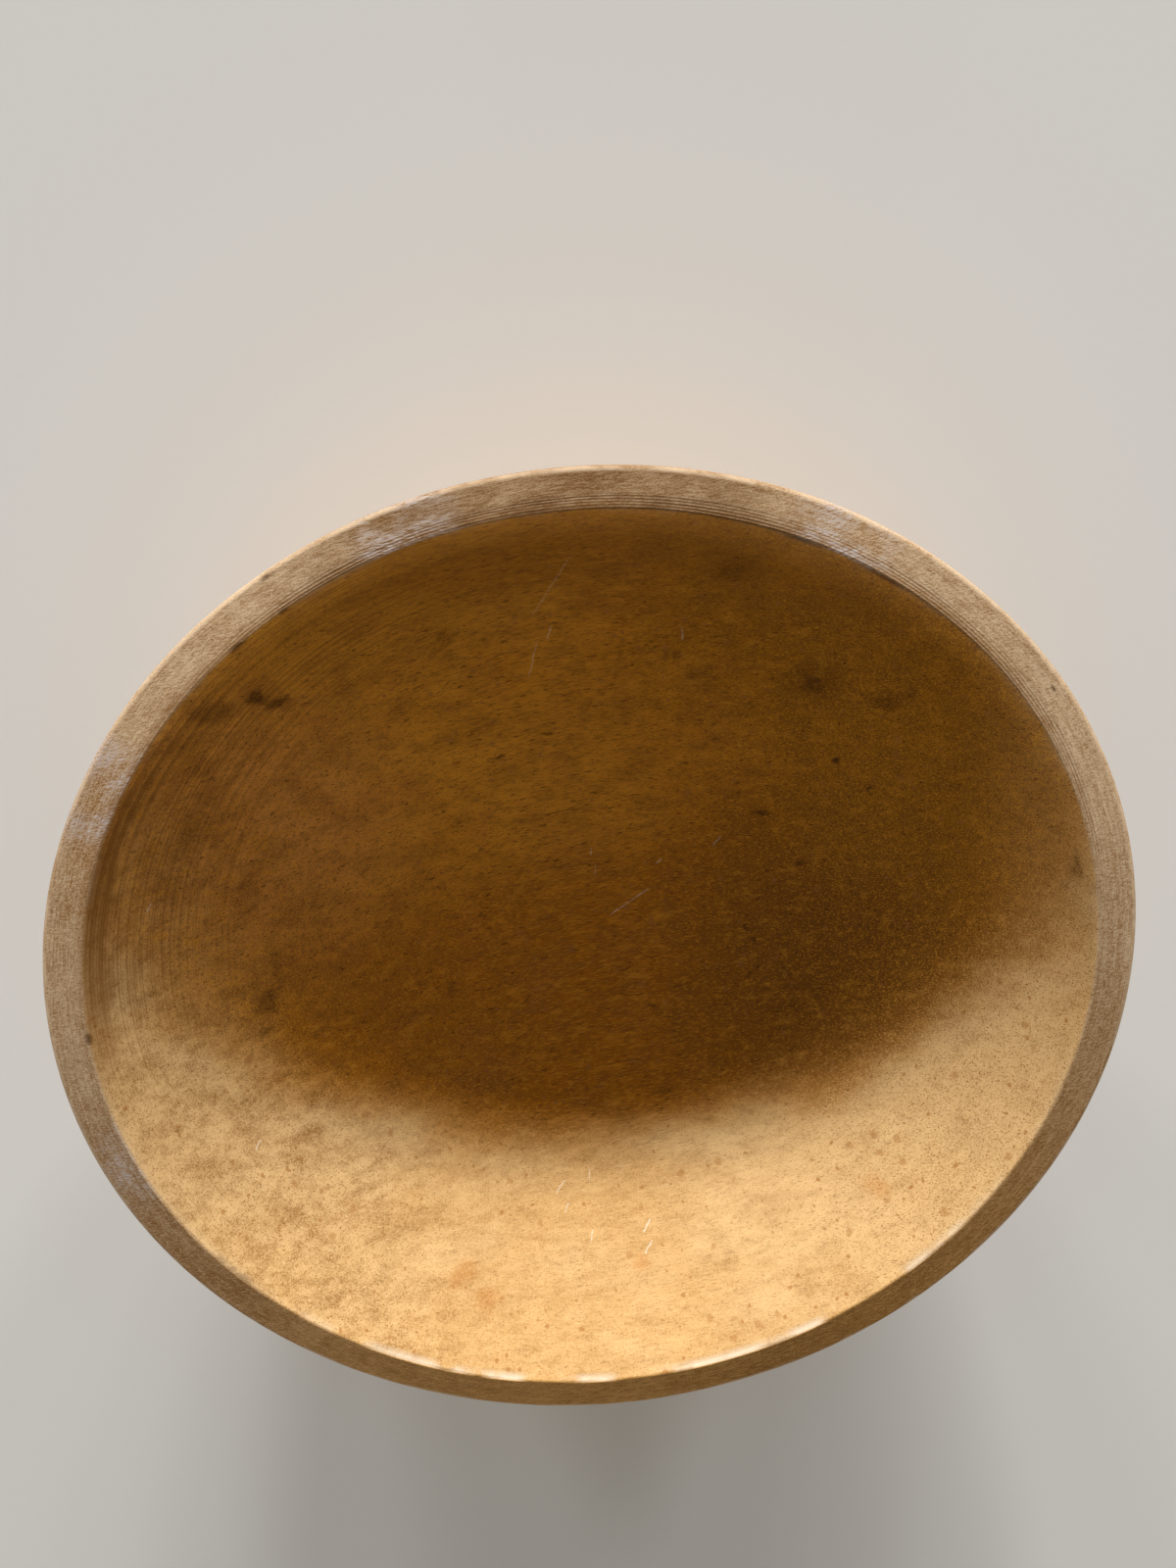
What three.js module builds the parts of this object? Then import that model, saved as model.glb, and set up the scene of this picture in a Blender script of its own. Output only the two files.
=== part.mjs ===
// A wooden bowl, turned green from one piece of wood and dried to an oval.
// Millimetres, +Z up, +X along the grain. The origin is the middle of the underside.

import * as THREE from 'three';

// Sizes over all. Wood hardly shrinks along the grain, so the length is still the turned diameter.
const lengthAlongGrain = 376;
const widthAcrossGrain = 339;
const height = 95;

// The rim is a plain band that falls away outwards, between two eased edges.
const rimWidth = 15.5;
const rimFall = THREE.MathUtils.degToRad(10.5);
const innerEdgeRadius = 1.2;
const outerEdgeRadius = 2.4;

// Below the rim the outside leans in towards the flat that the bowl stands on, given here as turned.
const outsideLean = THREE.MathUtils.degToRad(38);
const footDiameter = 120;
const floorThickness = 12;

// How finely the round forms are divided.
const stepsRound = 96;
const stepsOnWall = 14;
const stepsOnEdge = 4;

// The profile, from the axis under the foot, up the outside, over the rim and down the inside.
// Walls and edges meet in common tangents, so every stretch above the foot runs smoothly into the next.
function profile() {
  const rimRadius = lengthAlongGrain / 2;
  const bandRun = rimWidth - innerEdgeRadius - outerEdgeRadius;
  const edgeDrop = (innerEdgeRadius - outerEdgeRadius - bandRun * Math.sin(rimFall)) / Math.cos(rimFall);
  const innerEdge = new THREE.Vector2(rimRadius - rimWidth + innerEdgeRadius, height - innerEdgeRadius);
  const outerEdge = new THREE.Vector2(rimRadius - outerEdgeRadius, innerEdge.y + edgeDrop);

  const hollow = hollowUpTo(innerEdge);
  const bandAngle = Math.PI / 2 - rimFall;
  const innerRound = arc(innerEdge, innerEdgeRadius, bandAngle, Math.PI + hollow.aStartAngle);
  const outerRound = arc(outerEdge, outerEdgeRadius, -outsideLean, bandAngle);
  const outside = outsideUpTo(outerRound.getPoint(0));

  return [
    new THREE.Vector2(0, 0),
    ...outside.getPoints(stepsOnWall),
    ...outerRound.getPoints(stepsOnEdge).slice(1),
    ...innerRound.getPoints(stepsOnEdge),
    ...hollow.getPoints(stepsOnWall).slice(1, -1),
    new THREE.Vector2(0, floorThickness),
  ];
}

function arc(centre, radius, from, to) {
  return new THREE.EllipseCurve(centre.x, centre.y, radius, radius, from, to, to < from);
}

// The hollow is part of a ball about the axis. It touches the round of the inner edge from within.
function hollowUpTo(edge) {
  const depth = edge.y - floorThickness;
  const radius = (edge.x ** 2 + depth ** 2 - innerEdgeRadius ** 2) / (2 * (depth + innerEdgeRadius));
  const centre = new THREE.Vector2(0, floorThickness + radius);
  return arc(centre, radius, Math.atan2(edge.y - centre.y, edge.x), -Math.PI / 2);
}

// The outside is an arc that starts at the edge of the foot and reaches the rim at its lean.
function outsideUpTo(top) {
  const inwards = new THREE.Vector2(-Math.cos(outsideLean), Math.sin(outsideLean));
  const foot = new THREE.Vector2(footDiameter / 2, 0);
  const chord = foot.clone().sub(top);
  const radius = chord.lengthSq() / (2 * chord.dot(inwards));
  const centre = top.clone().addScaledVector(inwards, radius);
  return arc(centre, radius, Math.atan2(foot.y - centre.y, foot.x - centre.x), -outsideLean);
}

// The blank is turned round, set upright, and then shrinks across the grain as it dries.
function turnedAndDried() {
  const geometry = new THREE.LatheGeometry(profile(), stepsRound);
  geometry.rotateX(Math.PI / 2);
  geometry.scale(1, widthAcrossGrain / lengthAlongGrain, 1);
  return geometry;
}

const oiledWood = new THREE.MeshStandardMaterial({ color: 0xb8894f, roughness: 0.55, metalness: 0 });

const bowl = new THREE.Mesh(turnedAndDried(), oiledWood);
bowl.name = 'bowl';

const woodenBowl = new THREE.Group();
woodenBowl.add(bowl);

export default woodenBowl;
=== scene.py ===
"""A turned wooden bowl, dried to an oval and worn by use, on a plain floor in soft light.

Metres, +Z up, +X along the grain. The bowl stands on the floor at the origin. Its low and high sides
lie towards -Y and +Y, and its left and right ends towards -X and +X, as the camera sees them.
"""

import math

import bpy
from mathutils import Euler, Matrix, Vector


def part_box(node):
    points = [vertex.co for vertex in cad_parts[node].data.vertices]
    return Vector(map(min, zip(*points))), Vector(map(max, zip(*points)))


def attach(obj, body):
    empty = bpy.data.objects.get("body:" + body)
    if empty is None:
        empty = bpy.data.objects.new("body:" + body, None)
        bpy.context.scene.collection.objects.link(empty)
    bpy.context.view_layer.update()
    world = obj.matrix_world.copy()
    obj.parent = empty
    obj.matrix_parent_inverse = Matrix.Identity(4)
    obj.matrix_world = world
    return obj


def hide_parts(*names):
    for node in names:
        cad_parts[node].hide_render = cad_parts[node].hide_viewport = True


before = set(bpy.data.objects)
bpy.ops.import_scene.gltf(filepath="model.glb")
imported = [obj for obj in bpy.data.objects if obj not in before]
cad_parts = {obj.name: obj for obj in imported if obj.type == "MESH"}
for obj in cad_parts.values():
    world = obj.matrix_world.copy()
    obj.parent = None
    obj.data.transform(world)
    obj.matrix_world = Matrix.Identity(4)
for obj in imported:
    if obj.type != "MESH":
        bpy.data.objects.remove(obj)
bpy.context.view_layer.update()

# Sizes over all come from the frame. The others repeat the turned profile.
bowl_low, bowl_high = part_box("bowl")
LENGTH = bowl_high.x - bowl_low.x
WIDTH = bowl_high.y - bowl_low.y
HEIGHT = bowl_high.z
RIM_WIDTH = 0.0155
RIM_FALL = math.radians(10.5)
INNER_EDGE = 0.0012
OUTER_EDGE = 0.0024
OUTSIDE_LEAN = math.radians(38)
FOOT_DIAMETER = 0.120
FLOOR_THICKNESS = 0.012
GROOVE_PITCH = 0.00105
SHRINK = WIDTH / LENGTH
RIM_RADIUS = LENGTH / 2

# How finely the profile is divided. The inner part of the band carries the tool lines.
STEPS_INSIDE = 60
STEPS_INNER_EDGE = 6
STEPS_LINED_BAND = 30
STEPS_PLAIN_BAND = 14
STEPS_OUTER_EDGE = 8
STEPS_OUTSIDE = 38
STEPS_FOOT = 12
LINED_SHARE = 0.42
CROWDING_TO_RIM = 1.5

# What the turning tree is given besides the profile.
TURNING = {
    "Steps round": 540,
    "Shrink across the grain": SHRINK,
    "Unevenness": 0.0006,
    "Groove depth": 0.00014,
    "Groove pitch": GROOVE_PITCH,
    "Lip depth": 0.0018,
    "Wear depth": 0.0007,
    "Height": HEIGHT,
}

# Points closer than the seam's width are merged. The attribute is a distance measured over the surface.
SEAM = 1e-6
FROM_MOUTH = "from_mouth"

# The camera, fitted to the two ovals of the rim: its turn, and where it sees the middle of the rim.
PHOTO_LONG_SIDE = 1600
FOCAL_LENGTH_PIXELS = 1200
SENSOR = 36.0
CAMERA_TILT = math.radians(12.5)
CAMERA_YAW = math.radians(1.3)
CAMERA_ROLL = math.radians(11.7)
OUTER_EDGE_HEIGHT = 0.0922
RIM_SEEN_AT = Vector((0.0017, -0.0666, -0.4021))

# Distant soft lamps. Six side by side stand for a broad window: the direction of each in degrees, and
# the level that it gives a surface facing it. A low one lights the outside from in front.
WINDOW = ((52, 0.27), (66, 0.17), (74, 0.36), (82, 0.53), (96, 0.22), (112, 0.22))
WINDOW_RISE = 12.5
WINDOW_BREADTH = 6.5
LOW_LAMP = {"turn": 250, "rise": 0.5, "breadth": 4, "level": 0.35}

# The room's light, the backdrop that the camera sees instead, and the floor.
ROOM = (0.25, 0.235, 0.21, 1)
BACKDROP = (0.591, 0.572, 0.537, 1)
FLOOR_COLOUR = (0.93, 0.92, 0.90, 1)
FLOOR_SIZE = 60

# Sockets of a Mix node that mixes colours: the share and the two colours, and the result.
MIX_INPUTS = (0, 6, 7)
MIX_RESULT = 2


class Nodes:
    """Fills one node tree. Most calls add nodes, wire or set their inputs and return their output."""

    def __init__(self, tree):
        self.tree = tree

    def add(self, kind, inputs=(), **settings):
        """Adds a node and returns it. Its inputs are given in order, or by key in a dictionary."""
        node = self.tree.nodes.new(kind)
        for name, value in settings.items():
            setattr(node, name, value)
        pairs = inputs.items() if isinstance(inputs, dict) else enumerate(inputs)
        for key, value in pairs:
            self.join(value, node.inputs[key])
        return node

    def join(self, value, socket):
        if isinstance(value, bpy.types.NodeSocket):
            self.tree.links.new(value, socket)
        else:
            socket.default_value = value

    def calculate(self, operation, *inputs):
        return self.add("ShaderNodeMath", inputs, operation=operation).outputs[0]

    def chain(self, operation, result, *others):
        """Applies an operation of two inputs from left to right."""
        for other in others:
            result = self.calculate(operation, result, other)
        return result

    def total(self, *terms):
        return self.chain("ADD", *terms)

    def less(self, value, *taken):
        return self.chain("SUBTRACT", value, *taken)

    def product(self, *factors):
        return self.chain("MULTIPLY", *factors)

    def most(self, *values):
        return self.chain("MAXIMUM", *values)

    def distance(self, value, middle):
        return self.calculate("ABSOLUTE", self.less(value, middle))

    def blend(self, share, first, second):
        return self.total(first, self.product(self.less(second, first), share))

    def vector(self, operation, *inputs):
        return self.add("ShaderNodeVectorMath", inputs, operation=operation).outputs[0]

    def measure(self, operation, *inputs):
        return self.add("ShaderNodeVectorMath", inputs, operation=operation).outputs["Value"]

    def scaled(self, vector, factor):
        inputs = {"Vector": vector, "Scale": factor}
        return self.add("ShaderNodeVectorMath", inputs, operation="SCALE").outputs[0]

    def split(self, vector):
        return self.add("ShaderNodeSeparateXYZ", (vector,)).outputs

    def combine(self, x, y, z):
        return self.add("ShaderNodeCombineXYZ", (x, y, z)).outputs[0]

    def ramp(self, value, start, end, low=0.0, high=1.0):
        """Goes smoothly from low to high as the value goes from start to end."""
        inputs = (value, start, end, low, high)
        return self.add("ShaderNodeMapRange", inputs, interpolation_type="SMOOTHSTEP").outputs[0]

    def noise(self, vector, scale, detail=2.0, roughness=0.5):
        inputs = {"Vector": vector, "Scale": scale, "Detail": detail, "Roughness": roughness}
        return self.add("ShaderNodeTexNoise", inputs).outputs[0]

    def mix(self, share, first, second, blend_type="MIX"):
        inputs = dict(zip(MIX_INPUTS, (share, first, second)))
        node = self.add("ShaderNodeMix", inputs, data_type="RGBA", blend_type=blend_type)
        return node.outputs[MIX_RESULT]


# The profile

def arc(centre, radius, start, end, steps, crowding=1.0):
    """Points on a circle from one angle to another, crowded towards the end."""
    points = []
    for step in range(steps + 1):
        share = 1 - (1 - step / steps) ** crowding
        angle = start + (end - start) * share
        points.append((centre[0] + radius * math.cos(angle), centre[1] + radius * math.sin(angle)))
    return points


def between(start, end, share):
    return tuple(a + (b - a) * share for a, b in zip(start, end))


def line(start, end, steps):
    return [between(start, end, step / steps) for step in range(steps + 1)]


def outside_wall(top):
    """The outside, from the rim to the foot: an arc that leaves the rim at its lean."""
    foot = (FOOT_DIAMETER / 2, 0)
    chord = (foot[0] - top[0], foot[1] - top[1])
    inwards = (-math.cos(OUTSIDE_LEAN), math.sin(OUTSIDE_LEAN))
    radius = math.hypot(*chord) ** 2 / (2 * (chord[0] * inwards[0] + chord[1] * inwards[1]))
    centre = (top[0] + radius * inwards[0], top[1] + radius * inwards[1])
    end = math.atan2(foot[1] - centre[1], foot[0] - centre[0])
    return arc(centre, radius, -OUTSIDE_LEAN, end, STEPS_OUTSIDE)[:-1] + [foot]


def profile():
    """Radius and height from the middle of the floor, up the inside, over the rim and under the foot.

    Returns the points, and the one among them at the mouth, halfway round the inner edge.
    """
    inner = (RIM_RADIUS - RIM_WIDTH + INNER_EDGE, HEIGHT - INNER_EDGE)
    fall = (RIM_WIDTH - INNER_EDGE - OUTER_EDGE) * math.sin(RIM_FALL)
    drop = (INNER_EDGE - OUTER_EDGE - fall) / math.cos(RIM_FALL)
    outer = (RIM_RADIUS - OUTER_EDGE, inner[1] + drop)
    band_angle = math.pi / 2 - RIM_FALL

    # The hollow is part of a ball that touches the round of the inner edge.
    depth = inner[1] - FLOOR_THICKNESS
    ball = (inner[0] ** 2 + depth ** 2 - INNER_EDGE ** 2) / (2 * (depth + INNER_EDGE))
    middle = (0, FLOOR_THICKNESS + ball)
    mouth_angle = math.atan2(inner[1] - middle[1], inner[0])
    inside = arc(middle, ball, -math.pi / 2, mouth_angle, STEPS_INSIDE, CROWDING_TO_RIM)

    inner_round = arc(inner, INNER_EDGE, math.pi + mouth_angle, band_angle, STEPS_INNER_EDGE)
    outer_round = arc(outer, OUTER_EDGE, band_angle, -OUTSIDE_LEAN, STEPS_OUTER_EDGE)
    change = between(inner_round[-1], outer_round[0], LINED_SHARE)
    lined_band = line(inner_round[-1], change, STEPS_LINED_BAND)
    plain_band = line(change, outer_round[0], STEPS_PLAIN_BAND)
    outside = outside_wall(outer_round[-1])
    underside = (0, 0)
    foot = line(outside[-1], underside, STEPS_FOOT)
    stretches = (inside, inner_round, lined_band, plain_band, outer_round, outside, foot)
    points = [point for stretch in stretches for point in stretch[:-1]]
    return points + [underside], inner_round[len(inner_round) // 2]


def profile_object():
    """The profile as an edge line, with each point's distance from the mouth over the surface."""
    points, mouth = profile()
    mesh = bpy.data.meshes.new("profile")
    vertices = [(radius, 0, height) for radius, height in points]
    edges = [(i, i + 1) for i in range(len(points) - 1)]
    mesh.from_pydata(vertices, edges, [])
    along = [0.0]
    for here, there in zip(points, points[1:]):
        along.append(along[-1] + math.dist(here, there))
    at_mouth = along[points.index(mouth)]
    distances = mesh.attributes.new(FROM_MOUTH, "FLOAT", "POINT")
    distances.data.foreach_set("value", [place - at_mouth for place in along])
    bowl = bpy.data.objects.new("turned_bowl", mesh)
    bpy.context.scene.collection.objects.link(bowl)
    return bowl


# The rim's details, which the form and the wood share. Sides and ends are a direction round the axis and
# a half width in degrees. Fades are where a ramp starts and ends and, if they aren't 0 and 1, its values.

LINES_CENTRE_TURN = math.radians(53)
LINES_OFF_CENTRE = 0.0026
LINES_OUTER_FADE = (0.0036, 0.0012)
LINES_INNER_FADE = (-0.002, 0.0005)
LINES_SIDE = (70, 95)
LINES_DEEPEN = (0.3, 0.7, 0.4, 1.0)
WOBBLE_OUTWARDS = 150
WOBBLE_SCALE = 2.5

LIP_END = (160, 26)
LIP_WIDE_END = (167, 26)
LIP_LEAST_WIDTH = 0.004
LIP_MORE_WIDTH = 0.007
LIP_EASING = 0.040

WEAR_INSIDE_FADE = (-0.0034, -0.0004)
WEAR_BAND_FADE = (0.0010, 0.0002)
WEAR_LOW_SIDE = (268, 60)
WEAR_ELSEWHERE = 0.10
WEAR_PATCH_NOISE = {"scale": 60.0, "detail": 3.0}
WEAR_PATCH_FADE = (0.42, 0.64)
WEAR_LEFT_END = (200, 24)
WEAR_LEFT_SHARE = 0.4


def direction_round(nodes, x, y, shrink):
    """The angle round the axis that a place had before it shrank across the grain."""
    return nodes.calculate("ARCTAN2", nodes.calculate("DIVIDE", y, shrink), x)


def near_turn(nodes, angle, middle, half_width):
    """1 at one direction round the axis, falling to 0 at half a width to each side."""
    away = nodes.calculate("COSINE", nodes.less(angle, math.radians(middle)))
    return nodes.ramp(away, math.cos(math.radians(half_width)), 1.0)


def tool_lines(nodes, from_mouth, angle, pitch):
    """Lines cut off centre, so they run out on to the band on one side of the bowl."""
    from_centre = nodes.calculate("COSINE", nodes.less(angle, LINES_CENTRE_TURN))
    drift = nodes.product(from_centre, LINES_OFF_CENTRE)
    off_centre = nodes.less(from_mouth, drift)
    turn_x = nodes.calculate("COSINE", angle)
    turn_y = nodes.calculate("SINE", angle)
    around = nodes.combine(turn_x, turn_y, nodes.product(from_mouth, WOBBLE_OUTWARDS))
    wobble = nodes.noise(around, WOBBLE_SCALE)
    lines_out = nodes.total(nodes.calculate("DIVIDE", off_centre, pitch), wobble)
    wave = nodes.calculate("SINE", nodes.product(lines_out, 2 * math.pi))
    in_band = nodes.product(
        nodes.ramp(off_centre, *LINES_OUTER_FADE),
        nodes.ramp(from_mouth, *LINES_INNER_FADE),
        near_turn(nodes, angle, *LINES_SIDE),
    )
    return nodes.product(nodes.ramp(wave, -1, 1), in_band, nodes.ramp(wobble, *LINES_DEEPEN))


def lip_width(nodes, angle):
    wider = nodes.product(near_turn(nodes, angle, *LIP_WIDE_END), LIP_MORE_WIDTH)
    return nodes.total(wider, LIP_LEAST_WIDTH)


def lip_hollow(nodes, from_mouth, angle):
    """How far the hollow is cut deeper at one end of the grain: most at the foot of the lip."""
    width = lip_width(nodes, angle)
    below = nodes.product(from_mouth, -1)
    steep = nodes.ramp(below, 0.0, width)
    easing = nodes.ramp(nodes.less(below, width), LIP_EASING, 0.0)
    return nodes.product(steep, easing, near_turn(nodes, angle, *LIP_END))


def edge_wear(nodes, place, from_mouth, angle):
    """How far the inner edge is rubbed away: most along the low side, in patches."""
    off_inside = nodes.ramp(from_mouth, *WEAR_INSIDE_FADE)
    on_edge = nodes.product(off_inside, nodes.ramp(from_mouth, *WEAR_BAND_FADE))
    patch = nodes.ramp(nodes.noise(place, **WEAR_PATCH_NOISE), *WEAR_PATCH_FADE)
    patch = nodes.product(patch, nodes.most(near_turn(nodes, angle, *WEAR_LOW_SIDE), WEAR_ELSEWHERE))
    at_left = nodes.product(near_turn(nodes, angle, *WEAR_LEFT_END), WEAR_LEFT_SHARE)
    return nodes.product(on_edge, nodes.most(patch, at_left))


# The turned form

SWAY_SCALE = 1.4
DIP_SCALE = 1.9


def position(nodes):
    return nodes.add("GeometryNodeInputPosition").outputs[0]


def distance_from_mouth(nodes):
    return nodes.add("GeometryNodeInputNamedAttribute", (FROM_MOUTH,)).outputs[0]


def at_profile_point(nodes, given, value, index, data_type):
    """A value that belongs to the profile's points, read at an index."""
    inputs = {"Geometry": given["Profile"], "Value": value, "Index": index}
    return nodes.add("GeometryNodeSampleIndex", inputs, data_type=data_type).outputs["Value"]


def turn_profile(nodes, given):
    """A grid with a row for each point of the profile and a column for each step, turned and closed."""
    counted = nodes.add("GeometryNodeAttributeDomainSize", (given["Profile"],), component="MESH")
    rows = counted.outputs["Point Count"]
    columns = nodes.total(given["Steps round"], 1)
    counts = {"Vertices X": columns, "Vertices Y": rows}
    grid = nodes.add("GeometryNodeMeshGrid", counts).outputs["Mesh"]
    index = nodes.add("GeometryNodeInputIndex").outputs[0]
    row = nodes.calculate("FLOORED_MODULO", index, rows)
    column = nodes.calculate("FLOOR", nodes.calculate("DIVIDE", index, rows))
    turn = nodes.calculate("DIVIDE", nodes.product(column, -2 * math.pi), given["Steps round"])

    point = at_profile_point(nodes, given, position(nodes), row, "FLOAT_VECTOR")
    radius, _, height = nodes.split(point)
    along = nodes.product(radius, nodes.calculate("COSINE", turn))
    across = nodes.product(radius, nodes.calculate("SINE", turn), given["Shrink across the grain"])
    place = nodes.combine(along, across, height)
    reach = at_profile_point(nodes, given, distance_from_mouth(nodes), row, "FLOAT")
    marks = {"Geometry": grid, "Name": FROM_MOUTH, "Value": reach}
    marked = nodes.add("GeometryNodeStoreNamedAttribute", marks, data_type="FLOAT", domain="POINT")
    turned = nodes.add("GeometryNodeSetPosition", {"Geometry": marked.outputs[0], "Position": place})
    closed = nodes.add("GeometryNodeMergeByDistance", {"Geometry": turned.outputs[0], "Distance": SEAM})
    return closed.outputs[0]


def dry_out_of_true(nodes, given, shape):
    """Drying leaves the rim a little out of true, which only ever takes it towards the axis and down."""
    place = position(nodes)
    x, y, z = nodes.split(place)
    share_up = nodes.calculate("DIVIDE", z, given["Height"])
    around = nodes.vector("NORMALIZE", nodes.combine(x, y, 0))
    sway = nodes.product(nodes.noise(around, SWAY_SCALE, detail=1.0), given["Unevenness"], share_up)
    dip = nodes.product(nodes.noise(around, DIP_SCALE, detail=1.0), given["Unevenness"], share_up)
    dried = nodes.vector("SUBTRACT", place, nodes.scaled(around, sway))
    dried = nodes.vector("SUBTRACT", dried, nodes.combine(0, 0, dip))
    return nodes.add("GeometryNodeSetPosition", {"Geometry": shape, "Position": dried}).outputs[0]


def cut_and_wear(nodes, given, shape):
    """Cuts the tool lines on the band and the steeper lip under it, and wears the inner edge."""
    place = position(nodes)
    x, y, _ = nodes.split(place)
    from_mouth = distance_from_mouth(nodes)
    angle = direction_round(nodes, x, y, given["Shrink across the grain"])
    lines = tool_lines(nodes, from_mouth, angle, given["Groove pitch"])
    lined = nodes.product(lines, given["Groove depth"])
    lip = nodes.product(lip_hollow(nodes, from_mouth, angle), given["Lip depth"])
    worn = nodes.product(edge_wear(nodes, place, from_mouth, angle), given["Wear depth"])
    normal = nodes.add("GeometryNodeInputNormal").outputs[0]
    inwards = nodes.scaled(normal, nodes.product(nodes.total(lined, lip, worn), -1))
    return nodes.add("GeometryNodeSetPosition", {"Geometry": shape, "Offset": inwards}).outputs[0]


def turning_tree(material):
    """Turns the profile about the axis, dries it to an oval, and cuts and wears the rim."""
    tree = bpy.data.node_groups.new("turn_the_bowl", "GeometryNodeTree")
    tree.interface.new_socket("Profile", in_out="INPUT", socket_type="NodeSocketGeometry")
    sockets = {}
    for name, value in TURNING.items():
        kind = "NodeSocketInt" if isinstance(value, int) else "NodeSocketFloat"
        sockets[name] = tree.interface.new_socket(name, in_out="INPUT", socket_type=kind)
    tree.interface.new_socket("Bowl", in_out="OUTPUT", socket_type="NodeSocketGeometry")
    nodes = Nodes(tree)
    given = nodes.add("NodeGroupInput").outputs
    shape = turn_profile(nodes, given)
    shape = dry_out_of_true(nodes, given, shape)
    shape = cut_and_wear(nodes, given, shape)
    smooth = nodes.add("GeometryNodeSetShadeSmooth", {"Geometry": shape}).outputs[0]
    solid = nodes.add("GeometryNodeRealizeInstances", (smooth,)).outputs[0]
    finished = nodes.add("GeometryNodeSetMaterial", {"Geometry": solid, "Material": material}).outputs[0]
    nodes.add("NodeGroupOutput", (finished,))
    return tree, sockets


def turned_bowl(material):
    """The finished bowl as a plain mesh at the origin."""
    bowl = profile_object()
    tree, sockets = turning_tree(material)
    turning = bowl.modifiers.new("turning", "NODES")
    turning.node_group = tree
    for name, value in TURNING.items():
        turning[sockets[name].identifier] = value
    evaluated = bowl.evaluated_get(bpy.context.evaluated_depsgraph_get())
    mesh = bpy.data.meshes.new_from_object(evaluated)
    bowl.modifiers.remove(turning)
    bowl.data = mesh
    mesh.name = "turned_bowl"
    return bowl


# The wood: its colours

# Two palettes for the inside: a darker, redder one for the painted shade that the high rim throws
# into the hollow, and the wood's colour where the lamps light the low side.
SHADE_PALETTE = {
    "plain": (0.57, 0.235, 0.016, 1),
    "pale": (0.72, 0.325, 0.032, 1),
    "dark": (0.36, 0.150, 0.004, 1),
}
LIT_PALETTE = {
    "plain": (0.59, 0.345, 0.13, 1),
    "pale": (0.69, 0.445, 0.20, 1),
    "dark": (0.53, 0.295, 0.10, 1),
}
OUTSIDE = {"plain": (0.50, 0.305, 0.125, 1), "pale": (0.62, 0.41, 0.20, 1)}
# Painted deeper shade towards the low edge of the shadow.
DEEPER_SHADE = (0.385, 0.126, 0.001, 1)
FRECKLE = (0.36, 0.155, 0.04, 1)
BROWN = (0.24, 0.10, 0.018, 1)
# Painted deeper shade, for a cloud on the right.
DEEP_SHADE_BROWN = (0.15, 0.058, 0.005, 1)
OLIVE = (0.44, 0.215, 0.012, 1)
AMBER = (0.80, 0.36, 0.03, 1)
# Painted light, for a cloud at the left end.
PAINTED_LIGHT_RUSSET = (0.86, 0.39, 0.115, 1)
RED_BROWN = (0.46, 0.165, 0.03, 1)
GRIME = (0.08, 0.03, 0.006, 1)
DRY_BAND = (0.55, 0.375, 0.22, 1)
GOLDEN_BAND = (0.46, 0.222, 0.05, 1)
PALE_BAND = (0.72, 0.545, 0.365, 1)
GOLDEN_PALE = (0.66, 0.375, 0.11, 1)
# Painted shade, multiplied over the band's high side.
HIGH_SIDE_SHADE = (0.57, 0.52, 0.46, 1)
RUBBED = (0.58, 0.53, 0.54, 1)
CREAM = (0.80, 0.68, 0.52, 1)
WARM_EDGE = (0.78, 0.55, 0.30, 1)
TINTS = {"brown": BROWN, "red brown": RED_BROWN, "grime": GRIME, "cream": CREAM}

# The wood: its figure. Each layer is a noise, where on it the layer starts and is full, its depth, the
# share of the wood that takes it, and its colour. Pale is each part's own.

INSIDE_FIGURE = (
    ("flush", 0.45, 0.70, 0.40, "flushed", "red brown"),
    ("smudge", 0.35, 0.80, 0.26, "contrast", "brown"),
    ("mottle", 0.42, 0.78, 0.26, "contrast", "brown"),
    ("mottle", 0.52, 0.25, 0.28, "contrast", "pale"),
    ("streak", 0.54, 0.72, 0.30, "painted_shade", "brown"),
    ("grain", 0.51, 0.67, 0.38, "grain contrast", "brown"),
    ("grain", 0.50, 0.36, 0.28, "grain contrast", "pale"),
    ("fleck", 0.59, 0.67, 1.00, "flecked", "grime"),
    ("thread", 0.48, 0.66, 0.35, "lit_part", "pale"),
)
LATHE_LINES = (
    ("lathe", 0.46, 0.64, 0.60, "lathed", "brown"),
    ("fine lathe", 0.48, 0.62, 1.10, "lathed", "brown"),
    ("fine lathe", 0.48, 0.36, 0.50, "lathed", "pale"),
)
OUTSIDE_FIGURE = (
    ("tone", 0.35, 0.65, 1.00, "all", "pale"),
    ("smudge", 0.45, 0.75, 0.50, "all", "brown"),
    ("lathe", 0.48, 0.66, 0.45, "all", "brown"),
    ("lathe", 0.46, 0.30, 0.30, "all", "pale"),
    ("fibre", 0.50, 0.64, 0.55, "all", "brown"),
    ("fleck", 0.60, 0.70, 0.50, "all", "grime"),
    ("mottle", 0.42, 0.60, 0.50, "foot", "cream"),
)
BAND_FIGURE = (
    ("smudge", 0.42, 0.70, 0.50, "all", "brown"),
    ("rings", 0.49, 0.64, 0.45, "mottled", "brown"),
    ("rings", 0.48, 0.34, 0.30, "all", "pale"),
    ("fibre", 0.50, 0.62, 0.50, "all", "brown"),
    ("fibre", 0.50, 0.38, 0.50, "all", "pale"),
    ("strokes", 0.50, 0.62, 0.35, "all", "brown"),
    ("strokes", 0.50, 0.38, 0.35, "all", "pale"),
    ("pore", 0.50, 0.62, 0.35, "all", "brown"),
    ("pore", 0.50, 0.38, 0.35, "all", "pale"),
)

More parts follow.
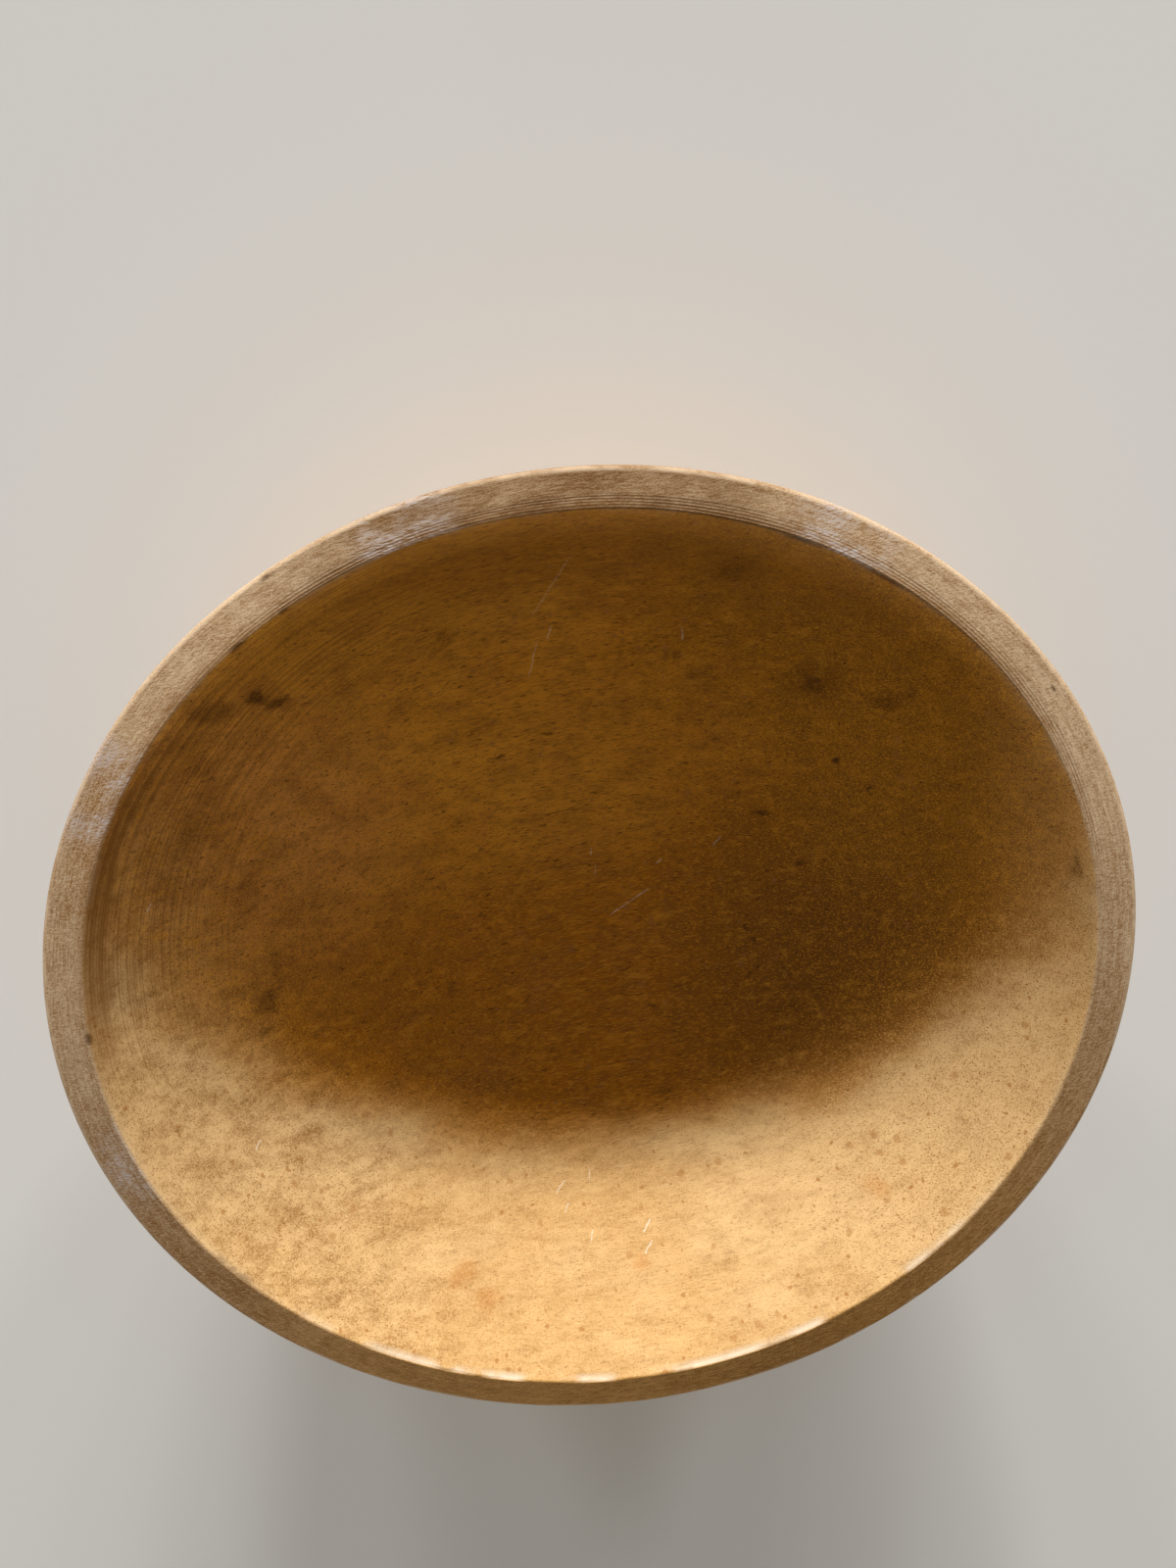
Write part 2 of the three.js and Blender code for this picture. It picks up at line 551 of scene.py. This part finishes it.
# Noises: stretch along three axes, scale, detail and roughness. Those of the grain read the place, broad
# ones first. Those of the lathe read the distance from the mouth and the direction round the axis.
GRAIN_NOISES = {
    "tone": ((0.5, 1, 1), 26.0, 3.0, 0.55),
    "flush": ((1, 1, 1), 55.0, 2.0, 0.55),
    "smudge": ((0.6, 1, 1), 90.0, 3.0, 0.6),
    "mottle": ((0.4, 1, 1), 260.0, 3.0, 0.65),
    "streak": ((0.1, 1, 1), 520.0, 2.0, 0.6),
    "fleck": ((0.22, 1, 1), 900.0, 3.0, 0.7),
    "pore": ((1, 1, 1), 1800.0, 2.0, 0.7),
    "thread": ((1, 0.28, 0.28), 2100.0, 2.0, 0.6),
    "fibre": ((0.12, 1, 1), 2400.0, 2.0, 0.7),
}
LATHE_NOISES = {
    "lathe": ((620, 0.9, 0.9), 1.0, 2.0, 0.7),
    "rings": ((900, 2.7, 2.7), 1.0, 2.0, 0.7),
    "fine lathe": ((1500, 0.9, 0.9), 1.0, 2.0, 0.6),
    "strokes": ((2600, 36, 36), 1.0, 2.0, 0.6),
}
NOISE_MIDDLE = 0.5

# Noises that send a place astray: scale, detail and reach.
WANDER = (330.0, 1.0, 0.0022)
DRIFT = (190.0, 3.0, 0.006)

# Parts of the bowl, by the distance from the mouth over the surface, and the foot by its height.
INSIDE_FADE = (0.0006, -0.0008)
OUTSIDE_FADE = (0.0155, 0.019)
FOOT_FADE = (0.005, 0.0008)

# The oval of painted shadow that the high rim throws into the hollow, and how far its border strays
# with the tone.
PAINTED_SHADOW_OVAL = {"middle": (0.012, 0.056), "half": (0.158, 0.136)}
OVAL_STRAYS = 0.16
SHADOW_EDGE_FADE = (1.05, 1.24)

# Paleness: the painted shade pales towards the left end, painted room light there; the lit wood pales
# towards both ends, partly painted light at the left end.
SHADE_PALING = (0.15, -0.12)
LIT_MIDDLE = -0.04
LIT_PALING = (0.03, 0.12, 0.6, 1.0)
TONE_IN_PALENESS = 1.6
DARK_TO_PLAIN = (0.0, 0.5)
PLAIN_TO_PALE = (0.5, 1.0)
# Painted deeper shade towards the low edge of the shadow, then painted light at both ends of the grain:
# room light at the left and a sheen at the right.
DEEPER_SHADE_FADE = (0.10, -0.01, 0.0, 0.85)
DEEPER_SHADE_STRAYS = 0.05
PAINTED_LIGHT_ENDS = ((0.138, 0.176, 0.0, 0.8), (-0.115, -0.155, 0.0, 0.7))

# How strong the figure is along the grain and in the painted shade.
LEAST_CONTRAST = 1.3
LEFT_CONTRAST = (-0.06, -0.13, 0.0, 1.5)
LEAST_GRAIN = 1.9
LEFT_GRAIN = (-0.06, -0.13, 0.0, 1.4)
RIGHT_GRAIN = (0.04, 0.12, 0.0, 2.0)
SHADE_CONTRAST = 0.6
FIBRE_IN_GRAIN = (0.0, 1.0, 0.45, 0.75)
FLUSHED_FADE = (0.10, -0.06, 0.1, 1.0)
FLECKED_FADE = (0.0, 1.0, 0.25, 0.7)
# Painted shade under the rim on the high side, then where the lathe lines show.
UNDER_RIM_SIDE = (75, 48)
UNDER_RIM_FADE = (-0.065, -0.010, 0.0, 0.4)
LATHED_END = (138, 55)
LATHED_FADE = (-0.085, -0.008, 0.0, 0.48)
LEAST_LATHED = 0.05

# The wood: its marks

MM = 0.001

# Soft clouds of colour in the painted shade: place and reach in millimetres, depth and colour. The deep
# brown one paints deeper shade and the russet one painted light at the left end. The core is the share
# of the reach over which a cloud is full.
CLOUDS = (
    ((100, -40), 100, 0.92, DEEP_SHADE_BROWN),
    ((125, 30), 60, 0.4, OLIVE),
    ((-15, 72), 70, 0.45, AMBER),
    ((-122, 68), 85, 0.7, PAINTED_LIGHT_RUSSET),
)
CLOUD_CORE = 0.2

# Specks: scale of their cells, share of the cells with only a faint one, largest size, depth and colour.
SPECKS = (
    (120.0, 0.35, 0.22, 0.5, FRECKLE),
    (250.0, 0.35, 0.24, 0.75, FRECKLE),
    (52.0, 0.5, 0.035, 0.9, GRIME),
)
SPECK_EDGE = (0.03, -0.09)

# Dark stains on the inside: place and half size in millimetres, and depth. The lowest are redder.
STAINS = (
    ((-104, 114), (9, 5), 0.45), ((-91, 116), (4, 3), 0.75), ((-86, 112), (5, 3), 0.7),
    ((97, 79), (12, 10), 0.4), ((97, 78), (4, 3), 0.5), ((120, 68), (6, 4), 0.5),
    ((127, 70), (3, 2), 0.35), ((169, 4), (2.4, 5), 0.45), ((-125, 1), (5, 8), 0.45),
    ((-128, -10), (4, 2), 0.5), ((-119, 13), (2, 12), 0.3), ((-61, -18), (2, 8), 0.3),
    ((74, 124), (11, 5), 0.35), ((50, 98), (4, 2), 0.4), ((57, 88), (4, 2), 0.45),
    ((-74, -116), (6, 4), 0.35), ((-66, -126), (6, 4), 0.3), ((-7, -130), (4, 3), 0.35),
    ((87, -112), (5, 4), 0.35), ((-27, 121), (5, 3), 0.4), ((0, 76), (3, 1.6), 0.7),
    ((-20, 70), (2.6, 1.6), 0.7), ((103, 46), (1.8, 1.6), 0.8), ((74, 28), (3, 2), 0.7),
    ((86, 5), (3.5, 1.3), 0.6), ((49, 52), (2.5, 1.3), 0.6), ((61, -20), (1.7, 1.7), 0.7),
    ((63, -25), (1.4, 1.2), 0.8), ((113, 34), (2.2, 1.3), 0.6),
)
STAIN_EDGE = (1.25, 0.2)
STAIN_GRAIN = (0.40, 0.60, 0.6, 1.0)
STAIN_STRENGTH = 1.3
REDDER_BELOW = -60

# Pale scratches on the inside: place and half length in millimetres, turn in degrees, and depth.
SCRATCHES = (
    ((13, 131), 14, 46, 0.22), ((9, 115), 3, 62, 0.6), ((1, 106), 8, 65, 0.32), ((17, -2), 11, 25, 0.6),
    ((32, 13), 2, 33, 0.5), ((56, 18), 3, 42, 0.5), ((6, 22), 2, 67, 0.5), ((6, 14), 3, 71, 0.3),
    ((-33, -102), 3, 39, 0.7), ((-32, -109), 2, 56, 0.7), ((-21, -101), 2, 77, 0.5),
    ((-2, -120), 3, 43, 0.8), ((-3, -126), 3, 42, 0.8), ((-24, -119), 2, 70, 0.6),
    ((-137, -48), 2, 51, 0.8), ((-147, 52), 2, 52, 0.5), ((55, 105), 3, 84, 0.4),
)
SCRATCH_BEND = 0.4
SCRATCH_SHIFT = 0.0004
SCRATCH_EDGE = (0.00045, 0.0001)
SCRATCH_FULL = 0.625
SCRATCH_GRAIN = (0.42, 0.58, 1.0, 0.35)

# Painted shade in the steeper lip: how far its border strays with the smudges, and its fade from the
# foot of the lip.
LIP_SHADE_STRAYS = 0.02
LIP_SHADE_FADE = (-0.003, 0.002, 0.0, 0.5)

# Browned stretches of the band: direction and half width in degrees, and depth.
BROWNED_STRETCHES = (
    (0, 9, 0.35), (80, 9, 0.35), (150, 14, 0.6), (190, 12, 0.35), (209, 16, 0.8), (294, 32, 0.8),
    (331, 24, 0.6),
)
BROWNED_SMUDGE = (0.30, 0.60, 0.7, 1.2)

# Other changes of the band's colour round the bowl and near the mouth. Painted shade darkens the high
# side, the band by the mouth there and the tool lines.
BAND_COVER = 0.92
BAND_LOW_SIDE = (270, 85)
BAND_HIGH_SIDE = (84, 34)
BAND_HIGH_SMUDGE = (0.30, 0.60, 0.6, 1.0)
BAND_PALER_END = (0.06, 0.17, 0.0, 0.35)
BAND_PALER_SIDE = (118, 17)
BAND_PALER_SHARE = 0.5
BAND_MOTTLED = (0.35, 0.62, 0.25, 1.0)
MOUTH_SHADE_FADE = (0.0045, 0.0005, 0.0, 0.4)
MOUTH_SHADE_SIDE = (-0.02, 0.10)
SHADE_IN_LINES = 0.75

# Whitish rubbed patches on the band: direction and half width in degrees, and what breaks them up.
RUBBED_PATCHES = ((53, 7), (99, 7), (143, 8), (192, 8))
RUBBED_FIGURE = (("fibre", (0.60, 0.40)), ("smudge", (0.66, 0.40)), ("rings", (0.60, 0.42, 0.4, 1.0)))
RUBBED_STRENGTH = 0.8

# Dark nicks and stains by the rim: direction and half width in degrees, then the distance out from the
# mouth and the half width across in millimetres.
RIM_NICKS = (
    (211, 4, -0.6, 1.8), (174, 1.2, 0.0, 2.0), (57, 3, -0.6, 1.4), (47, 4, -0.6, 1.2),
    (113, 1.2, 13, 1.6), (114, 0.8, 0.0, 1.6), (120, 1.6, 0.0, 1.6), (24, 0.6, 10, 1.0),
)
NICK_MOTTLED = (0.3, 0.55, 0.0, 0.8)

# Worn edges: the inner one is bared paler, with a painted highlight, and warmer at one end, and the outer
# one is rubbed where it is smudged.
EDGE_BARED_AND_HIGHLIT = 0.75
WARM_END = (198, 34)
OUTER_EDGE_AT = 0.0142
OUTER_EDGE_FADE = (0.0020, 0.0004)
OUTER_EDGE_SMUDGE = (0.40, 0.60, 0.0, 0.55)

# The surface: roughness by the smudges, more of it on the band, a slight sheen, and the relief.
ROUGHNESS = (0.3, 0.7, 0.54, 0.66)
BAND_ROUGHNESS = 0.12
SPECULAR = 0.08
GRAIN_RELIEF = 0.8
LATHE_RELIEF = 1.5
OUTSIDE_RELIEF = 0.3
RELIEF = {"Strength": 0.3, "Distance": 0.0005}


class Wood(Nodes):
    """The wood's node tree, with what its layers read: places, parts of the bowl, and figure."""

    def __init__(self, tree):
        super().__init__(tree)
        self.place = self.add("ShaderNodeTexCoord").outputs["Object"]
        self.x, self.y, self.z = self.split(self.place)
        self.flat = self.combine(self.x, self.y, 0)
        self.wander = self.astray(*WANDER)
        self.angle = direction_round(self, self.x, self.y, SHRINK)
        self.from_mouth = self.add("ShaderNodeAttribute", attribute_name=FROM_MOUTH).outputs["Fac"]
        self.inside = self.ramp(self.from_mouth, *INSIDE_FADE)
        self.outside = self.ramp(self.from_mouth, *OUTSIDE_FADE)
        self.band = self.less(1, self.inside, self.outside)
        turn_x, turn_y = (self.calculate(name, self.angle) for name in ("COSINE", "SINE"))
        turned = self.combine(self.from_mouth, turn_x, turn_y)
        self.figure = {**self.noises(self.place, GRAIN_NOISES), **self.noises(turned, LATHE_NOISES)}
        # The oval of painted shadow: a darker palette inside it, the lit wood's colour round it.
        self.lit_part = self.lit_part_share()
        self.painted_shade = self.less(1, self.lit_part)
        self.palette = {key: self.mix(self.lit_part, SHADE_PALETTE[key], LIT_PALETTE[key]) for key in SHADE_PALETTE}
        fibre_share = self.ramp(self.painted_shade, *FIBRE_IN_GRAIN)
        self.figure["grain"] = self.blend(fibre_share, self.figure["pore"], self.figure["fibre"])
        lathed = self.product(self.toward(*LATHED_END), self.ramp(self.from_mouth, *LATHED_FADE))
        self.lathed = self.total(lathed, LEAST_LATHED)

    def noises(self, vector, table):
        return {
            name: self.noise(self.vector("MULTIPLY", vector, stretch), scale, detail, roughness)
            for name, (stretch, scale, detail, roughness) in table.items()
        }

    def lit_part_share(self):
        """0 in the oval of painted shadow and 1 round it."""
        strays = self.product(self.figure["tone"], OVAL_STRAYS)
        return self.ramp(self.total(self.from_oval(self.flat, **PAINTED_SHADOW_OVAL), strays), *SHADOW_EDGE_FADE)

    def from_oval(self, place, middle, half):
        """How far a place lies from the middle of an oval that has its border at 1."""
        away = self.vector("SUBTRACT", place, (*middle, 0))
        return self.measure("LENGTH", self.vector("DIVIDE", away, (*half, 1)))

    def astray(self, scale, detail, reach):
        """A vector of noise from 0 to its reach."""
        inputs = {"Vector": self.place, "Scale": scale, "Detail": detail}
        return self.scaled(self.add("ShaderNodeTexNoise", inputs).outputs["Color"], reach)

    def toward(self, middle, half_width):
        return near_turn(self, self.angle, middle, half_width)

    def figured(self, name, fade):
        return self.ramp(self.figure[name], *fade)

    def centred(self, name):
        return self.less(self.figure[name], NOISE_MIDDLE)

    def layered(self, colour, layers, pale, shares):
        """Lays a table of layers over a colour."""
        tints = {**TINTS, "pale": pale}
        for name, start, full, depth, share, tint in layers:
            layer = self.product(self.figured(name, (start, full, 0.0, depth)), shares[share])
            colour = self.mix(layer, colour, tints[tint])
        return colour


def inside_ground(wood):
    """The inside's colour before its figure: paleness, painted deeper shade, clouds and painted light."""
    # Paler towards the left end in the shade and towards both ends in the lit wood, partly painted light.
    shade_pale = wood.ramp(wood.x, *SHADE_PALING)
    lit_pale = wood.ramp(wood.distance(wood.x, LIT_MIDDLE), *LIT_PALING)
    paleness = wood.blend(wood.lit_part, shade_pale, lit_pale)
    paleness = wood.total(paleness, wood.product(wood.centred("tone"), TONE_IN_PALENESS))
    colour = wood.mix(wood.ramp(paleness, *DARK_TO_PLAIN), wood.palette["dark"], wood.palette["plain"])
    colour = wood.mix(wood.ramp(paleness, *PLAIN_TO_PALE), colour, wood.palette["pale"])
    # Painted deeper shade towards the low edge of the shadow.
    strays = wood.product(wood.figure["tone"], DEEPER_SHADE_STRAYS)
    shade_deepening = wood.ramp(wood.total(wood.y, strays), *DEEPER_SHADE_FADE)
    colour = wood.mix(wood.product(shade_deepening, wood.painted_shade), colour, DEEPER_SHADE)
    # Clouds: the deep brown one is painted deeper shade, the russet one painted light.
    for (x, y), reach, depth, tint in CLOUDS:
        away = wood.measure("DISTANCE", wood.flat, (x * MM, y * MM, 0))
        cloud = wood.ramp(away, reach * MM, reach * MM * CLOUD_CORE, 0.0, depth)
        colour = wood.mix(wood.product(cloud, wood.painted_shade), colour, tint)
    # Painted light at both ends: room light at the left and a sheen at the right.
    ends_lit = wood.total(*(wood.ramp(wood.x, *fade) for fade in PAINTED_LIGHT_ENDS))
    return wood.mix(wood.product(ends_lit, wood.painted_shade), colour, LIT_PALETTE["plain"])


def inside_figure(wood, colour):
    """Smudges, mottling, streaks, grain and flecks, and painted shade under the rim on the high side."""
    in_painted_shade = wood.product(wood.painted_shade, SHADE_CONTRAST)
    contrast = wood.most(in_painted_shade, wood.ramp(wood.x, *LEFT_CONTRAST))
    grain_contrast = wood.most(in_painted_shade, wood.ramp(wood.x, *RIGHT_GRAIN), wood.ramp(wood.x, *LEFT_GRAIN))
    shares = {
        "painted_shade": wood.painted_shade,
        "lit_part": wood.lit_part,
        "flushed": wood.product(wood.painted_shade, wood.ramp(wood.x, *FLUSHED_FADE)),
        "contrast": wood.total(contrast, LEAST_CONTRAST),
        "grain contrast": wood.total(grain_contrast, LEAST_GRAIN),
        "flecked": wood.ramp(wood.painted_shade, *FLECKED_FADE),
    }
    colour = wood.layered(colour, INSIDE_FIGURE, wood.palette["pale"], shares)
    # Painted shade under the rim on the high side.
    shade_under_rim = wood.product(wood.toward(*UNDER_RIM_SIDE), wood.ramp(wood.from_mouth, *UNDER_RIM_FADE))
    return wood.mix(shade_under_rim, colour, BROWN)


def specks(wood, colour):
    """Brown specks of uneven size and a few dark pinpoints."""
    uneven = wood.vector("ADD", wood.place, wood.wander)
    for scale, faint_share, largest, depth, tint in SPECKS:
        cells = wood.add("ShaderNodeTexVoronoi", {"Vector": uneven, "Scale": scale}).outputs
        size = wood.ramp(wood.split(cells["Color"])[0], faint_share, 1.0, 0.0, largest)
        speck = wood.ramp(wood.less(cells["Distance"], size), *SPECK_EDGE, 0.0, depth)
        colour = wood.mix(speck, colour, tint)
    return colour


def lathe_lines(wood, colour):
    """Lathe lines, clearest near the rim at one end of the grain."""
    return wood.layered(colour, LATHE_LINES, wood.palette["pale"], {"lathed": wood.lathed})


def stains(wood, colour):
    """Dark stains with drifting borders, deeper in the darker grain."""
    drifting = wood.vector("ADD", wood.flat, wood.vector("MULTIPLY", wood.astray(*DRIFT), (1, 1, 0)))
    mean_drift = DRIFT[-1] / 2
    taken_up = wood.product(wood.inside, wood.figured("grain", STAIN_GRAIN))
    for (x, y), (half_x, half_y), depth in STAINS:
        middle = (x * MM + mean_drift, y * MM + mean_drift)
        away = wood.from_oval(drifting, middle, (half_x * MM, half_y * MM))
        stain = wood.product(wood.ramp(away, *STAIN_EDGE), taken_up, depth * STAIN_STRENGTH)
        colour = wood.mix(stain, colour, GRIME if y > REDDER_BELOW else RED_BROWN)
    return colour


def scratches(wood, colour):
    """Pale scratches, a little bent and broken up by the grain."""
    bend = wood.vector("MULTIPLY", wood.wander, (SCRATCH_BEND, SCRATCH_BEND, 0))
    bent = wood.vector("ADD", wood.flat, bend)
    marks = []
    for (x, y), half_length, turn, depth in SCRATCHES:
        along_x, along_y = math.cos(math.radians(turn)), math.sin(math.radians(turn))
        away = wood.vector("SUBTRACT", bent, (x * MM + SCRATCH_SHIFT, y * MM + SCRATCH_SHIFT, 0))
        length = wood.calculate("ABSOLUTE", wood.measure("DOT_PRODUCT", away, (along_x, along_y, 0)))
        breadth = wood.calculate("ABSOLUTE", wood.measure("DOT_PRODUCT", away, (-along_y, along_x, 0)))
        ends = wood.ramp(length, half_length * MM, half_length * MM * SCRATCH_FULL)
        marks.append(wood.product(wood.ramp(breadth, *SCRATCH_EDGE), ends, depth))
    scratched = wood.product(wood.most(*marks), wood.inside, wood.figured("grain", SCRATCH_GRAIN))
    return wood.mix(scratched, colour, CREAM)


def lip_shade(wood, colour):
    """Painted shade in the steeper lip under the rim."""
    strays = wood.product(wood.centred("smudge"), LIP_SHADE_STRAYS)
    above_foot = wood.total(wood.from_mouth, lip_width(wood, wood.angle), strays)
    lip_shaded = wood.product(wood.ramp(above_foot, *LIP_SHADE_FADE), wood.toward(*LIP_END), wood.inside)
    return wood.mix(lip_shaded, colour, BROWN)


def outside_colour(wood):
    """The outside: drier, ringed by the lathe all over, and scuffed pale at the foot."""
    shares = {"all": 1.0, "foot": wood.ramp(wood.z, *FOOT_FADE)}
    return wood.layered(OUTSIDE["plain"], OUTSIDE_FIGURE, OUTSIDE["pale"], shares)


def band_colour(wood):
    """The drier band: golden low, ringed, with painted shade on the high side and in the tool lines."""
    low_side = wood.toward(*BAND_LOW_SIDE)
    paler_side = wood.product(wood.toward(*BAND_PALER_SIDE), BAND_PALER_SHARE)
    paler = wood.most(wood.ramp(wood.x, *BAND_PALER_END), paler_side)
    colour = wood.mix(paler, DRY_BAND, PALE_BAND)
    colour = wood.mix(low_side, colour, GOLDEN_BAND)
    smudged = wood.figured("smudge", BROWNED_SMUDGE)
    for middle, half_width, depth in BROWNED_STRETCHES:
        browned = wood.product(wood.toward(middle, half_width), smudged, depth)
        colour = wood.mix(browned, colour, BROWN)
    pale = wood.mix(low_side, PALE_BAND, GOLDEN_PALE)
    shares = {"all": 1.0, "mottled": wood.figured("mottle", BAND_MOTTLED)}
    colour = wood.layered(colour, BAND_FIGURE, pale, shares)
    # Painted shade on the band by the mouth on the high side.
    mouth_shade = wood.ramp(wood.from_mouth, *MOUTH_SHADE_FADE)
    colour = wood.mix(wood.product(mouth_shade, wood.ramp(wood.y, *MOUTH_SHADE_SIDE)), colour, BROWN)
    # Painted shade in the tool lines' grooves.
    lined = tool_lines(wood, wood.from_mouth, wood.angle, GROOVE_PITCH)
    colour = wood.mix(wood.product(lined, SHADE_IN_LINES), colour, GRIME)
    # Painted shade over the high side.
    shaded_high_side = wood.product(wood.toward(*BAND_HIGH_SIDE), wood.figured("smudge", BAND_HIGH_SMUDGE))
    return wood.mix(shaded_high_side, colour, HIGH_SIDE_SHADE, "MULTIPLY")


def rubbed_patches(wood, colour):
    """Whitish patches where the band is rubbed."""
    broken_up = wood.product(*(wood.figured(name, fade) for name, fade in RUBBED_FIGURE))
    for middle, half_width in RUBBED_PATCHES:
        patch = wood.product(wood.toward(middle, half_width), broken_up, wood.band, RUBBED_STRENGTH)
        colour = wood.mix(patch, colour, RUBBED)
    return colour


def rim_nicks(wood, colour):
    """Dark nicks and stains by the rim."""
    mottled = wood.figured("mottle", NICK_MOTTLED)
    for middle, half_width, out, half_across in RIM_NICKS:
        across = wood.ramp(wood.distance(wood.from_mouth, out * MM), half_across * MM, 0.0)
        nick = wood.product(wood.toward(middle, half_width), across, mottled)
        colour = wood.mix(nick, colour, GRIME)
    return colour


def worn_and_highlit_edges(wood, colour):
    """Paler bared wood and a painted highlight on the worn inner edge, and the rubbed outer edge."""
    worn = edge_wear(wood, wood.place, wood.from_mouth, wood.angle)
    tint = wood.mix(wood.toward(*WARM_END), CREAM, WARM_EDGE)
    # Bared wood with a painted highlight on the worn inner edge.
    colour = wood.mix(wood.product(worn, EDGE_BARED_AND_HIGHLIT), colour, tint)
    on_outer_edge = wood.ramp(wood.distance(wood.from_mouth, OUTER_EDGE_AT), *OUTER_EDGE_FADE)
    rubbed = wood.product(on_outer_edge, wood.figured("smudge", OUTER_EDGE_SMUDGE))
    return wood.mix(rubbed, colour, PALE_BAND)


def relief(wood):
    """Fine relief of the grain and of the lathe lines."""
    lathed = wood.total(wood.lathed, wood.product(wood.outside, OUTSIDE_RELIEF))
    lines = wood.product(wood.figure["lathe"], lathed, LATHE_RELIEF)
    height = wood.total(wood.product(wood.figure["grain"], GRAIN_RELIEF), lines)
    return wood.add("ShaderNodeBump", {**RELIEF, "Height": height}).outputs[0]


def worn_wood():
    """Honey wood, painted light and shade: fine grain along X, flecks, specks, lathe lines, a drier rim.
    """
    material = bpy.data.materials.new("worn_wood")
    material.use_nodes = True
    material.node_tree.nodes.clear()
    wood = Wood(material.node_tree)
    colour = inside_ground(wood)
    for layer in (inside_figure, specks, lathe_lines, stains, scratches, lip_shade):
        colour = layer(wood, colour)
    colour = wood.mix(wood.outside, colour, outside_colour(wood))
    colour = wood.mix(wood.product(wood.band, BAND_COVER), colour, band_colour(wood))
    for layer in (rubbed_patches, rim_nicks, worn_and_highlit_edges):
        colour = layer(wood, colour)
    roughness = wood.total(wood.figured("smudge", ROUGHNESS), wood.product(wood.band, BAND_ROUGHNESS))
    surface = {
        "Base Color": colour,
        "Roughness": roughness,
        "Specular IOR Level": SPECULAR,
        "Normal": relief(wood),
    }
    shader = wood.add("ShaderNodeBsdfPrincipled", surface)
    wood.add("ShaderNodeOutputMaterial", (shader.outputs[0],))
    return material


# The stage

def pale_floor():
    """A plain pale floor that the bowl stands on."""
    bpy.ops.mesh.primitive_plane_add(size=FLOOR_SIZE)
    floor = bpy.context.object
    floor.name = "floor"
    material = bpy.data.materials.new("pale_floor")
    material.use_nodes = True
    shader = material.node_tree.nodes["Principled BSDF"]
    shader.inputs["Base Color"].default_value = FLOOR_COLOUR
    shader.inputs["Roughness"].default_value = 1.0
    shader.inputs["Specular IOR Level"].default_value = 0.0
    floor.data.materials.append(material)


def lamp(name, turn, rise, breadth, level):
    """A distant lamp, by its direction and breadth in degrees and the level that it gives."""
    light = bpy.data.lights.new(name, "SUN")
    light.angle = math.radians(breadth)
    light.energy = level * math.pi
    holder = bpy.data.objects.new(name, light)
    turn, rise = math.radians(turn), math.radians(rise)
    aim = Vector((math.cos(rise) * math.cos(turn), math.cos(rise) * math.sin(turn), math.sin(rise)))
    holder.location = aim
    holder.rotation_euler = aim.to_track_quat("Z", "Y").to_euler()
    bpy.context.scene.collection.objects.link(holder)


def soft_room():
    """An even room. The camera and reflections see it as pale as the floor."""
    world = bpy.data.worlds.new("room")
    world.use_nodes = True
    tree = world.node_tree
    room = tree.nodes["Background"]
    room.inputs["Color"].default_value = ROOM
    nodes = Nodes(tree)
    backdrop = nodes.add("ShaderNodeBackground", (BACKDROP,)).outputs[0]
    path = nodes.add("ShaderNodeLightPath").outputs
    seen = nodes.most(path["Is Camera Ray"], path["Is Glossy Ray"], path["Is Transmission Ray"])
    mixed = nodes.add("ShaderNodeMixShader", (seen, room.outputs[0], backdrop)).outputs[0]
    nodes.join(mixed, tree.nodes["World Output"].inputs["Surface"])
    bpy.context.scene.world = world


def photo_camera():
    """The camera at the photograph's angle: a little above the axis, turned so that the grain rises."""
    data = bpy.data.cameras.new("camera")
    data.sensor_width = SENSOR
    data.lens = SENSOR * FOCAL_LENGTH_PIXELS / PHOTO_LONG_SIDE
    camera = bpy.data.objects.new("camera", data)
    turn = Euler((-CAMERA_TILT, -CAMERA_YAW, -CAMERA_ROLL), "XYZ")
    camera.rotation_euler = turn
    camera.location = Vector((0, 0, OUTER_EDGE_HEIGHT)) - turn.to_matrix() @ RIM_SEEN_AT
    bpy.context.scene.collection.objects.link(camera)
    bpy.context.scene.camera = camera


photo_camera()
for direction, level in WINDOW:
    lamp(f"window_{direction}", direction, WINDOW_RISE, WINDOW_BREADTH, level)
lamp("low_lamp", **LOW_LAMP)
soft_room()
pale_floor()
bowl = turned_bowl(worn_wood())
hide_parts("bowl")
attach(bowl, "root")
bpy.context.scene.view_settings.view_transform = "Standard"
